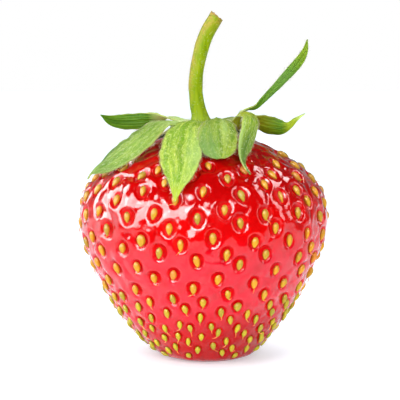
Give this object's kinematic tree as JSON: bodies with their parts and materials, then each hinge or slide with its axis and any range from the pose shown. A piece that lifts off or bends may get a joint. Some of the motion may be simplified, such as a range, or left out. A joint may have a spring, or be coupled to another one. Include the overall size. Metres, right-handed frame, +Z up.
{
  "type": "strawberry",
  "caption": "Ripe red strawberry with raised seeds, a leafy green cap and a cut stalk, standing upright on the small flat spot at its blunt tip.",
  "frame": {"origin": "centre of the small flat spot at the blunt tip that the fruit rests on", "axes": "+Z up from the tip to the cap, -Y towards the broad front leaf, +X to the right of it, where the upright leaf stands"},
  "size_m": [0.0354, 0.0335, 0.049],
  "materials": {
    "flesh": "glossy wet-looking skin",
    "disc": "soft, hairy",
    "stem": "satin, finely hairy",
    "sepal": "soft leaf, finely hairy"
  },
  "bodies": {
    "root": {"flesh": "flesh", "calyx_disc": "disc", "stem": "stem", "sepal_front": "sepal", "sepal_front_right": "sepal", "sepal_folded": "sepal", "sepal_upright": "sepal", "sepal_cupped": "sepal", "sepal_left": "sepal", "sepal_back_left": "sepal", "sepal_back_a": "sepal", "sepal_back_b": "sepal", "sepal_back_c": "sepal"}
  },
  "joints": []
}
